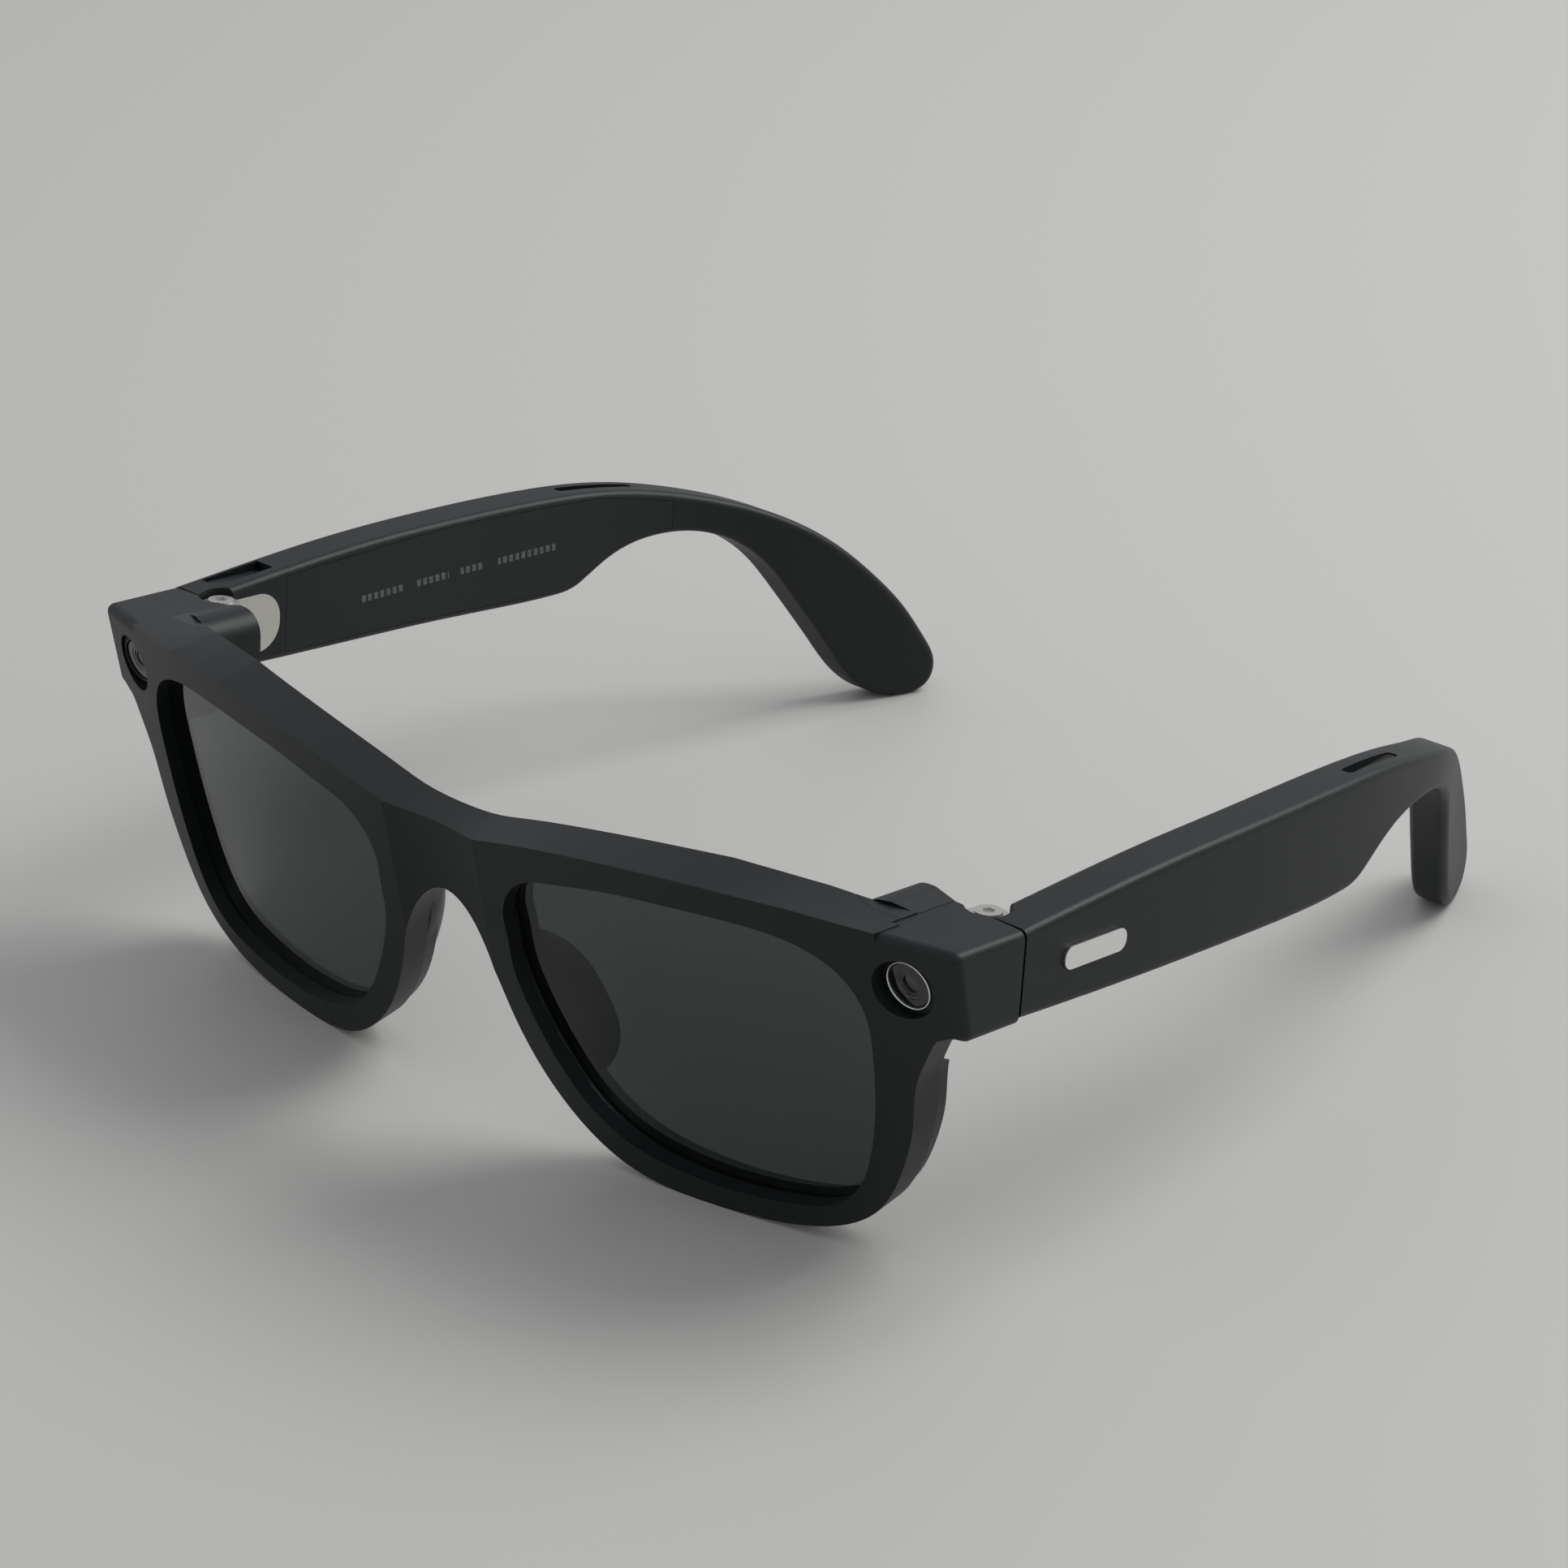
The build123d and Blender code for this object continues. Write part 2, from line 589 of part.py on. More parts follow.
def slot(play=0.0):
    """Speaker slot on the top of the temple."""
    u = (SLOT_U[0] + SLOT_U[1]) / 2
    length = SLOT_U[1] - SLOT_U[0] + 2 * play
    x = 69.0
    bar = Box(SLOT_W + 2 * play, length, 4.0)
    bar = fillet(bar.edges().filter_by(Axis.Z), SLOT_W / 2 + play - 0.01)
    return Pos(x, u, 46.0) * Rot(0, 0, 9.0) * bar


def temple_shell(full, kind):
    """Outer shell cut from the full temple, level; kind is 'left' or 'right'."""
    body = full - cavity() - cover_room()
    body -= Pos(AXIS_X, 0, 40) * Cylinder(POCKET_R, 30)
    body -= leaf_plate() + (Pos(AXIS_X + 0.55, 1.95, 38.85) * Box(2.5, 3.9, 4.1))
    body -= slot() + badge(0.0) + mic_hole()
    if kind == "right":
        body -= button_room()
    return max(body.solids(), key=lambda s: s.volume)


def cover_room():
    """Room for the inner cover with a thin joint line round it."""
    grown = offset(make_face(Plane.YZ * Polyline(COVER + COVER[:1])), amount=FIT)
    return strip(TEMPLE_T - WALL, TEMPLE_T + 2) & (Pos(30, 0, 0) * extrude(grown, 60, dir=(1, 0, 0)))


def badge(shrink):
    """Plain rounded bar on the outer face, let in half its thickness."""
    bar = Pos(75.0, 10.4, 38.9) * Box(0.8, 11.0 - shrink, 3.0 - shrink)
    ends = bar.edges().filter_by(Axis.X)
    return fillet(ends, 1.3)


def mic_hole():
    """Hole of the microphone in the underside."""
    return Pos(72.0, 17.0, 33.0) * Cylinder(0.6, 3.4)


def temple_mic():
    """Gauze plug of the microphone."""
    return Pos(72.0, 17.0, 33.4) * Cylinder(0.6, 1.2)


def speaker_mesh():
    """Fine mesh that fills the speaker slot just below the surface."""
    return slot(-0.02) & (Pos(69, 69.5, 45.2) * Box(12, 20, 0.5))


def face_x(u):
    """Sideways place of the outer face at a distance along the temple."""
    for (xa, ua), (xb, ub) in zip(PLAN_OUT[:-1], PLAN_OUT[1:]):
        if u <= ub:
            return xa + (xb - xa) * (u - ua) / (ub - ua)
    return PLAN_OUT[-1][0]


def box_at(u0, u1, z0, z1, inward, thick, chord=None):
    """Box at a distance inward from the straight chord of the outer face."""
    a, b = chord or (u0, u1)
    slope = (face_x(b) - face_x(a)) / (b - a)
    mid = (u0 + u1) / 2
    x = face_x(a) + slope * (mid - a) - inward - thick / 2
    place = Pos(x, mid, (z0 + z1) / 2) * Rot(0, 0, -math.degrees(math.atan(slope)))
    return place * Box(thick, u1 - u0, z1 - z0)


def battery():
    """Pouch cell with its folded terminal edge."""
    cell = box_at(25, 56, 34.8, 43.2, WALL + 0.35, 2.9)
    edge = box_at(22.9, 25.8, 35.6, 42.2, WALL + 1.0, 1.0, (25, 56))
    cell = fillet(cell.edges(), 0.5)
    return cell + edge


def speaker():
    """Open-ear speaker driver under the slot."""
    case = box_at(61.5, 75.0, 40.4, 43.6, WALL + 0.3, 2.6)
    return fillet(case.edges(), 0.4)


def switch_board():
    """Board behind the power switch."""
    board = box_at(14, 22.4, 35.2, 42.6, WALL + 0.02, 0.8)
    slide = box_at(16, 22, 37, 40.4, WALL + 0.82, 1.0, (14, 22.4))
    return board + slide


def switch_slot():
    """Opening of the cover for the switch, longer by its travel."""
    length = SWITCH_L + SWITCH_TRAVEL + 0.7
    return Pos(69.0, SWITCH_U, 38.6) * Box(4.0, length, SWITCH_H + 0.6)


def power_switch():
    """Sliding switch in its first position."""
    u = SWITCH_U - SWITCH_TRAVEL / 2
    knob = Pos(69.2, u, 38.6) * Box(2.2, SWITCH_L, SWITCH_H)
    knob = fillet(knob.edges().filter_by(Axis.X), 0.5)
    knob += Pos(70.35, u, 38.6) * Box(0.7, SWITCH_L + 1.4, SWITCH_H + 2.0)
    for k in (-1, 0, 1):
        knob -= Pos(68.1, u + k, 38.6) * Box(0.5, 0.35, SWITCH_H + 1)
    return knob


def temple_flex():
    """Ribbon on the inside of the cover from the hinge to the speaker."""
    inner = TEMPLE_T - WALL
    side = Polyline([(13.2, 41.5), (62, 41.5), (62, 43.1), (13.2, 43.1), (13.2, 41.5)])
    return strip(inner - 0.25, inner) & side_view(side)


def main_board():
    """Main board with its chips."""
    board = box_at(24, 58, 34.8, 43.2, WALL + 0.5, 0.8)
    parts = [(26, 29, 36, 39), (26, 30, 40, 42.4), (47, 53, 36, 41), (54, 57, 37, 40)]
    for u0, u1, z0, z1 in parts:
        board += box_at(u0, u1, z0, z1, WALL + 1.28, 0.9, (24, 58))
    return board


def shield_can():
    """Pressed shield can over the radio chips."""
    outer = box_at(31, 45.5, 35.4, 42.6, WALL + 1.31, 1.3, (24, 58))
    inner = box_at(31.2, 45.3, 35.6, 42.4, WALL + 1.1, 1.3, (24, 58))
    return outer - inner


def touch_sensor():
    """Touch strip against the outer wall."""
    return strip(WALL, WALL + 0.3) & side_view(Polyline([(16, 36), (50, 36), (50, 42), (16, 42), (16, 36)]))


def button_place():
    """Middle of the capture button along the temple."""
    return (BUTTON_U[0] + BUTTON_U[1]) / 2


def button_room():
    """Pocket of the capture button in the top of the temple."""
    u = button_place()
    length = BUTTON_U[1] - BUTTON_U[0] + 2 * BUTTON_SIDE
    return Pos(72.1, u, 44.2) * Box(BUTTON_W + 2 * BUTTON_SIDE, length, 4.6)


def capture_button():
    """Capture button, slightly below the top of the temple."""
    u = button_place()
    length = BUTTON_U[1] - BUTTON_U[0]
    body = Pos(72.1, u, BUTTON_TOP - 0.6) * Box(BUTTON_W, length, 1.2)
    body = fillet(body.edges().filter_by(Axis.Z), 0.9)
    return body


def button_dome():
    """Click dome under the capture button."""
    base = Pos(72.1, button_place(), 42.1) * Box(2.4, 3.0, 0.4)
    return base + Pos(72.1, button_place(), 42.35) * Cylinder(0.8, 0.2)


# ---- write the pieces ---------------------------------------------------------------------
def left(shape):
    """A level piece of the wearer's left temple at its resting place."""
    return settle(shape)


def right(shape):
    """A level piece mirrored onto the wearer's right temple."""
    return other_side(settle(shape))


def pieces():
    """Every piece of the glasses by name."""
    full = temple_body()
    lid = cover(full)
    parts = {
        "front_frame": front_frame(), "rear_frame": rear_frame(),
        "lens_left": lens(), "lens_right": other_side(lens()),
        "nose_pad_left": nose_pad(), "nose_pad_right": other_side(nose_pad()),
        "camera_ring": camera_ring(), "camera_window": camera_window(),
        "camera_barrel": camera_barrel(), "camera_module": camera_module(),
        "light_ring": light_ring(), "light_window": light_window(),
        "light_guide": light_guide(), "light_board": light_board(),
        "front_flex": front_flex(), "charge_contacts": charge_contacts(),
        "bridge_mic": bridge_mic(),
        "hinge_block_left": hinge_block(), "hinge_block_right": other_side(hinge_block()),
        "front_leaf_left": front_leaf(), "front_leaf_right": other_side(front_leaf()),
        "hinge_screw_left": hinge_screw(), "hinge_screw_right": other_side(hinge_screw()),
        "temple_shell_left": left(temple_shell(full, "left")),
        "temple_cover_left": left(lid - switch_slot()),
        "temple_leaf_left": left(temple_leaf()), "battery": left(battery()),
        "speaker_left": left(speaker()), "speaker_mesh_left": left(speaker_mesh()),
        "switch_board": left(switch_board()), "power_switch": left(power_switch()),
        "temple_flex_left": left(temple_flex()), "badge_left": left(badge(0.1)),
        "temple_mic_left": left(temple_mic()),
        "temple_shell_right": right(temple_shell(full, "right")),
        "temple_cover_right": right(lid),
        "temple_leaf_right": right(temple_leaf()), "main_board": right(main_board()),
        "shield_can": right(shield_can()), "touch_sensor": right(touch_sensor()),
        "speaker_right": right(speaker()), "speaker_mesh_right": right(speaker_mesh()),
        "temple_flex_right": right(temple_flex()), "badge_right": right(badge(0.1)),
        "temple_mic_right": right(temple_mic()), "capture_button": right(capture_button()),
        "button_dome": right(button_dome()),
    }
    return parts


def main():
    """Centre the whole on its footprint, stand it on the table and write every piece."""
    parts = pieces()
    boxes = [p.bounding_box() for p in parts.values()]
    low = [min(getattr(b.min, a) for b in boxes) for a in "XYZ"]
    high = [max(getattr(b.max, a) for b in boxes) for a in "XYZ"]
    shift = (-(low[0] + high[0]) / 2, -(low[1] + high[1]) / 2, -low[2])
    print("moved by", shift, "size", [h - l for h, l in zip(high, low)])
    move = Pos(*shift)
    for name, shape in parts.items():
        export_step(move * shape, "parts/" + name + ".step")


main()
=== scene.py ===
"""Smart glasses laid open on a pale table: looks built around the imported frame."""
import json
import math
import bmesh
import bpy
import numpy as np
from bpy.props import FloatProperty, FloatVectorProperty, PointerProperty
from bpy.types import Operator, Panel, PropertyGroup
from mathutils import Matrix, Vector


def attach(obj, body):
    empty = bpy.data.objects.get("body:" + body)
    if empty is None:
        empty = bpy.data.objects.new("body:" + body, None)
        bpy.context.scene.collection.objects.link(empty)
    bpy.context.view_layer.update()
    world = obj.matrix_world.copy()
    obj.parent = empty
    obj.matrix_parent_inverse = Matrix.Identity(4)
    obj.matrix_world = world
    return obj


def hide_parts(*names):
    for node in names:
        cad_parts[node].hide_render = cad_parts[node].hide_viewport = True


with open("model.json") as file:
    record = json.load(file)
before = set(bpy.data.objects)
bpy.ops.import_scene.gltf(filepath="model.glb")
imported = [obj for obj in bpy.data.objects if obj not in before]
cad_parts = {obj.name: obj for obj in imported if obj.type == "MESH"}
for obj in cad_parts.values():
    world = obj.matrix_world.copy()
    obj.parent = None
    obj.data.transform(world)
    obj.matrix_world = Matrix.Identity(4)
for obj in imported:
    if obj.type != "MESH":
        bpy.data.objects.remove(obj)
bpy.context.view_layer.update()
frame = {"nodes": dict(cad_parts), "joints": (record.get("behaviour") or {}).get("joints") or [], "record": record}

bl_info = {
    "name": "Smart Glasses",
    "version": (1, 0, 0),
    "blender": (4, 5, 0),
    "location": "View3D > Sidebar > Glasses",
    "description": "Dark smart sunglasses with a camera, a status light and folding temples",
    "category": "Object",
}

MM = 0.001
# Places are told from the left hinge axis, which the frame gives; in the part's own
# millimetres that axis stands at this point.
HINGE_AT = np.array([67.6, 19.7, 39.0])
HINGE = {j["name"]: np.array(j["pos_m"]) for j in frame["joints"] if "pos_m" in j}
ORIGIN = HINGE["fold_left"] / MM - HINGE_AT
LEAN = math.radians(9.3)      # lean of the front
DROP = math.radians(5.5)      # slope of the temples
BOW_R = 240.0                 # bow of the front, seen from above
FRONT_SHIFT = 1.9             # where the leaned front plane crosses the table

# Camera and status light: centre on the face, turn, depth of the ring's front, radii.
EYE_X, EYE_Z, EYE_TURN = 67.9, 39.7, math.radians(4.0)
EYE_SET, EYE_R, RING_R = 0.9, 2.85, 3.15
RING_PLAY, RING_DEEP, RING_NOSE = 0.06, 2.0, 0.12
GLASS_SET, GLASS_BACK = 0.25, 1.0     # glass face and back behind the ring's front
LENS_R = 1.15                         # domed middle of the glass
POLE_R = 0.02                         # small flat cap in place of a point
SHARP = math.radians(35)              # edges turned more than this stay crisp

# Worn print on the right temple's inner face: stretches along it, first and last height.
PRINT_ROWS = ((44.8, 52.6), (54.8, 60.7), (62.8, 67.1), (69.5, 79.8))
PRINT_HIGH, PRINT_LOW = 36.0, 34.0
PRINT_INK = (0.2, 0.2, 0.2)

# Camera place in the part's millimetres, its turn, rise and roll in degrees, lens on 36 mm.
CAMERA_AT = (381.33, -338.13, 279.19)
CAMERA_TURNS = (43.994, 24.768, -0.384)
CAMERA_LENS = 107.2
KEY_AT, KEY_AIM, KEY_SIZE = (0.35, 0.75, 0.95), (0, 0, 0.02), 0.8
WORLD_COLOUR, WORLD_POWER = (0.82, 0.84, 0.86, 1), 0.6
REAR_TONE, REAR_SMOOTHER = 1.5, 0.08  # rear shell: lighter and a little glossier


# ---- materials ----------------------------------------------------------------------------
def new_group(name, inputs, outputs):
    """Empty shader node group with named sockets; each socket is (name, type, default)."""
    group = bpy.data.node_groups.new(name, "ShaderNodeTree")
    for label, kind, default in inputs:
        socket = group.interface.new_socket(label, in_out="INPUT", socket_type=kind)
        socket.default_value = default
    for label, kind in outputs:
        group.interface.new_socket(label, in_out="OUTPUT", socket_type=kind)
    nodes = group.nodes
    return group, nodes.new("NodeGroupInput"), nodes.new("NodeGroupOutput")


def moulded_grain_group():
    """Fine moulded grain: two noises in Object coordinates give a height, a roughness and a mask.

    Height = fine grain + a share of a coarse orange-peel wave; Roughness = base + spread * cloud;
    Cloud runs 0 to 1 over a few centimetres and is meant for a faint colour shift.
    """
    group, into, out = new_group("moulded_grain", [
        ("Grain Scale", "NodeSocketFloat", 9000.0), ("Grain Share", "NodeSocketFloat", 1.0),
        ("Roughness", "NodeSocketFloat", 0.45), ("Spread", "NodeSocketFloat", 0.06)],
        [(label, "NodeSocketFloat") for label in ("Height", "Roughness", "Cloud")])
    n, link = group.nodes, group.links.new
    coords = n.new("ShaderNodeTexCoord")
    fine, wave, cloud = (n.new("ShaderNodeTexNoise") for _ in range(3))
    link(into.outputs["Grain Scale"], fine.inputs["Scale"])
    fine.inputs["Detail"].default_value = 3.0
    wave.inputs["Scale"].default_value = 420.0
    wave.inputs["Detail"].default_value = 1.0
    cloud.inputs["Scale"].default_value = 55.0
    cloud.inputs["Detail"].default_value = 4.0
    for noise in (fine, wave, cloud):
        link(coords.outputs["Object"], noise.inputs["Vector"])
    share = n.new("ShaderNodeMath"); share.operation = "MULTIPLY"
    link(fine.outputs["Fac"], share.inputs[0])
    link(into.outputs["Grain Share"], share.inputs[1])
    peel = n.new("ShaderNodeMath"); peel.operation = "MULTIPLY_ADD"
    link(wave.outputs["Fac"], peel.inputs[0])
    peel.inputs[1].default_value = 1.6
    link(share.outputs[0], peel.inputs[2])
    link(peel.outputs[0], out.inputs["Height"])
    rough = n.new("ShaderNodeMath"); rough.operation = "MULTIPLY_ADD"
    link(cloud.outputs["Fac"], rough.inputs[0])
    link(into.outputs["Spread"], rough.inputs[1])
    link(into.outputs["Roughness"], rough.inputs[2])
    link(rough.outputs[0], out.inputs["Roughness"])
    link(cloud.outputs["Fac"], out.inputs["Cloud"])
    return group


def brushed_group():
    """Fine parallel brush lines: noise stretched along one axis of the Object coordinates."""
    group, into, out = new_group("brushed_lines", [
        ("Lines", "NodeSocketVector", (9000.0, 400.0, 9000.0)),
        ("Roughness", "NodeSocketFloat", 0.3), ("Spread", "NodeSocketFloat", 0.12)],
        [("Height", "NodeSocketFloat"), ("Roughness", "NodeSocketFloat")])
    n, link = group.nodes, group.links.new
    coords, scale = n.new("ShaderNodeTexCoord"), n.new("ShaderNodeVectorMath")
    scale.operation = "MULTIPLY"
    link(coords.outputs["Object"], scale.inputs[0])
    link(into.outputs["Lines"], scale.inputs[1])
    noise = n.new("ShaderNodeTexNoise")
    noise.inputs["Scale"].default_value = 1.0
    noise.inputs["Detail"].default_value = 2.0
    link(scale.outputs[0], noise.inputs["Vector"])
    rough = n.new("ShaderNodeMath"); rough.operation = "MULTIPLY_ADD"
    link(noise.outputs["Fac"], rough.inputs[0])
    link(into.outputs["Spread"], rough.inputs[1])
    link(into.outputs["Roughness"], rough.inputs[2])
    link(noise.outputs["Fac"], out.inputs["Height"])
    link(rough.outputs[0], out.inputs["Roughness"])
    return group


def plain_material(name, metallic=0.0, ior=1.5, coat=0.0, coat_rough=0.1):
    """Material with one Principled shader; returns the material, its nodes, link and shader."""
    mat = bpy.data.materials.new(name)
    mat.use_nodes = True
    nodes, link = mat.node_tree.nodes, mat.node_tree.links.new
    shader = nodes["Principled BSDF"]
    shader.inputs["Metallic"].default_value = metallic
    shader.inputs["IOR"].default_value = ior
    shader.inputs["Coat Weight"].default_value = coat
    shader.inputs["Coat Roughness"].default_value = coat_rough
    return mat, nodes, link, shader


def place_group(nodes, group, **values):
    """Group node in a material, with its named inputs set."""
    node = nodes.new("ShaderNodeGroup")
    node.node_tree = group
    for label, value in values.items():
        node.inputs[label.replace("_", " ")].default_value = value
    return node


def add_bump(nodes, link, height, shader, strength, distance=0.00002):
    """Bump node from a height output into the shader's normal."""
    bump = nodes.new("ShaderNodeBump")
    bump.inputs["Strength"].default_value = strength
    bump.inputs["Distance"].default_value = distance
    link(height, bump.inputs["Height"])
    link(bump.outputs["Normal"], shader.inputs["Normal"])


def plastic(name, dark, light, roughness, spread=0.06, grain=0.25, coat=0.0, ior=1.42):
    """Moulded plastic: two near colours mixed by the cloud mask, grained and softly glossy."""
    mat, nodes, link, shader = plain_material(name, coat=coat, ior=ior)
    grainy = place_group(nodes, GROUPS["grain"], Roughness=roughness, Spread=spread)
    mix = nodes.new("ShaderNodeMix")
    mix.data_type = "RGBA"
    mix.inputs[6].default_value = (*dark, 1)
    mix.inputs[7].default_value = (*light, 1)
    link(grainy.outputs["Cloud"], mix.inputs[0])
    link(mix.outputs[2], shader.inputs["Base Color"])
    link(grainy.outputs["Roughness"], shader.inputs["Roughness"])
    add_bump(nodes, link, grainy.outputs["Height"], shader, grain)
    return mat


def metal(name, colour, roughness, spread=0.12, lines=(9000.0, 400.0, 9000.0), bump=0.12):
    """Brushed or satin metal with fine lines."""
    mat, nodes, link, shader = plain_material(name, metallic=1.0)
    shader.inputs["Base Color"].default_value = (*colour, 1)
    brushed = place_group(nodes, GROUPS["brushed"], Lines=lines, Roughness=roughness, Spread=spread)
    link(brushed.outputs["Roughness"], shader.inputs["Roughness"])
    add_bump(nodes, link, brushed.outputs["Height"], shader, bump, 0.00001)
    return mat


def lens_material(tint):
    """Dark grey-green sun lens: tinted clear plastic with a hard coat."""
    mat, nodes, link, shader = plain_material("sun_lens", ior=1.5)
    shader.inputs["Transmission Weight"].default_value = 1.0
    shader.inputs["Roughness"].default_value = 0.02
    grainy = place_group(nodes, GROUPS["grain"], Roughness=0.02, Spread=0.01)
    mix = nodes.new("ShaderNodeMix")
    mix.data_type = "RGBA"
    mix.inputs[6].default_value = (*[c * 0.92 for c in tint], 1)
    mix.inputs[7].default_value = (*tint, 1)
    link(grainy.outputs["Cloud"], mix.inputs[0])
    link(mix.outputs[2], shader.inputs["Base Color"])
    return mat


def glass_eye_material(name, colour, roughness=0.04):
    """Black glossy cover glass of the camera and the status light."""
    mat, nodes, link, shader = plain_material(name, ior=1.6, coat=0.6, coat_rough=0.02)
    grainy = place_group(nodes, GROUPS["grain"], Roughness=roughness, Spread=0.03)
    shader.inputs["Base Color"].default_value = (*colour, 1)
    link(grainy.outputs["Roughness"], shader.inputs["Roughness"])
    return mat


GROUPS = {}
FINISH = {}


def rear_tones(look):
    """Darker and lighter tone of the rear shell and the temples' inner faces."""
    return [[c * REAR_TONE for c in tone] for tone in (look.body_colour, look.body_light)]


def make_finishes(look):
    """Every material by its slot name in the record."""
    GROUPS["grain"] = moulded_grain_group()
    GROUPS["brushed"] = brushed_group()
    GROUPS["print"] = print_group()
    body, warm = look.body_colour, look.body_light
    FINISH.update({
        "frame_black": plastic("frame_black", body, warm, look.body_gloss, 0.08),
        "rear_shell_black": plastic("rear_shell_black", *rear_tones(look),
                                    look.body_gloss - REAR_SMOOTHER),
        "sun_lens": lens_material(look.lens_tint),
        "pad_black": plastic("pad_black", [c * 1.3 for c in body], [c * 1.3 for c in warm], 0.36),
        "eye_glass": glass_eye_material("eye_glass", (0.004, 0.005, 0.006)),
        "bright_ring": metal("bright_ring", (0.78, 0.79, 0.8), 0.18),
        "dark_ring": plastic("dark_ring", (0.006, 0.006, 0.007), (0.01, 0.01, 0.011), 0.25),
        "module_black": plastic("module_black", (0.01, 0.01, 0.011), (0.014, 0.014, 0.016), 0.4),
        "light_guide": plastic("light_guide", (0.6, 0.6, 0.58), (0.72, 0.72, 0.7), 0.3),
        "circuit_board": plastic("circuit_board", (0.01, 0.07, 0.03), (0.02, 0.1, 0.045), 0.35),
        "ribbon": plastic("ribbon", (0.2, 0.09, 0.02), (0.28, 0.13, 0.03), 0.35),
        "contact_gold": metal("contact_gold", (0.83, 0.61, 0.27), 0.22),
        "hinge_steel": metal("hinge_steel", (0.62, 0.61, 0.58), 0.3),
        "cell_foil": metal("cell_foil", (0.6, 0.6, 0.6), 0.35),
        "speaker_black": plastic("speaker_black", (0.012, 0.012, 0.012), (0.02, 0.02, 0.02), 0.5),
        "mesh_black": plastic("mesh_black", (0.004, 0.004, 0.004), (0.008, 0.008, 0.008), 0.6),
        "badge_silver": metal("badge_silver", (0.8, 0.8, 0.79), 0.22),
    })


def printed_plastic(name, dark, light, roughness, ink):
    """Plastic with four rows of short worn grey dashes, for the inner face of a temple."""
    mat = plastic(name, dark, light, roughness, 0.08)
    nodes, link = mat.node_tree.nodes, mat.node_tree.links.new
    shader = nodes["Principled BSDF"]
    marks = place_group(nodes, GROUPS["print"])
    mix = nodes.new("ShaderNodeMix")
    mix.data_type = "RGBA"
    link(shader.inputs["Base Color"].links[0].from_socket, mix.inputs[6])
    mix.inputs[7].default_value = (*ink, 1)
    link(marks.outputs["Mask"], mix.inputs[0])
    link(mix.outputs[2], shader.inputs["Base Color"])
    return mat


def print_group():
    """Mask of short dashes: inside a thin band that falls along the temple, in four stretches.

    Along = distance back from the hinge; Up = height over a line that drops at the band's slope.
    A dash shows where Along is in a stretch, Up is within half the band, and the fraction of
    Along over the pitch is under the dash share; noise wears the ink.
    """
    group, into, out = new_group("worn_print", [
        ("Pitch", "NodeSocketFloat", 0.0011), ("Dash Share", "NodeSocketFloat", 0.62),
        ("Half Height", "NodeSocketFloat", 0.0005)], [("Mask", "NodeSocketFloat")])
    n, link = group.nodes, group.links.new

    def maths(kind, *values):
        node = n.new("ShaderNodeMath")
        node.operation = kind
        for index, value in enumerate(values):
            if hasattr(value, "is_linked"):
                link(value, node.inputs[index])
            else:
                node.inputs[index].default_value = value
        return node.outputs[0]

    parts = n.new("ShaderNodeSeparateXYZ")
    link(n.new("ShaderNodeTexCoord").outputs["Object"], parts.inputs[0])
    along = maths("SUBTRACT", parts.outputs["Y"], float(ORIGIN[1] * MM))
    drop = (PRINT_HIGH - PRINT_LOW) / (PRINT_ROWS[-1][1] - PRINT_ROWS[0][0])
    line = maths("SUBTRACT", float((PRINT_HIGH + PRINT_ROWS[0][0] * drop + ORIGIN[2]) * MM),
                 maths("MULTIPLY", along, drop))
    off = maths("ABSOLUTE", maths("SUBTRACT", parts.outputs["Z"], line))
    mask = maths("LESS_THAN", off, into.outputs["Half Height"])
    share = maths("FRACT", maths("DIVIDE", along, into.outputs["Pitch"]))
    mask = maths("MULTIPLY", mask, maths("LESS_THAN", share, into.outputs["Dash Share"]))
    rows = None
    for start, end in PRINT_ROWS:
        row = maths("MULTIPLY", maths("GREATER_THAN", along, start * MM),
                    maths("LESS_THAN", along, end * MM))
        rows = row if rows is None else maths("MAXIMUM", rows, row)
    wear = n.new("ShaderNodeTexNoise")
    wear.inputs["Scale"].default_value = 2600.0
    link(parts.inputs[0].links[0].from_socket, wear.inputs["Vector"])
    mask = maths("MULTIPLY", maths("MULTIPLY", mask, rows), wear.outputs["Fac"])
    link(mask, out.inputs["Mask"])
    return group


# ---- geometry -----------------------------------------------------------------------------
def eye_place(points, side=1):
    """Points about the eye's axis (x, depth, z) put on the leaned front, in part millimetres."""
    p = np.array(points, float)
    bow = BOW_R - math.sqrt(BOW_R ** 2 - EYE_X ** 2)
    height = EYE_Z - bow * math.tan(LEAN)
    c, s = math.cos(EYE_TURN), math.sin(EYE_TURN)
    x, y = p[:, 0] * c - p[:, 1] * s + EYE_X, p[:, 0] * s + p[:, 1] * c + bow
    z = p[:, 2] + height
    c, s = math.cos(LEAN), math.sin(LEAN)
    return np.stack([x * side, y * c - z * s + FRONT_SHIFT, y * s + z * c], axis=1)


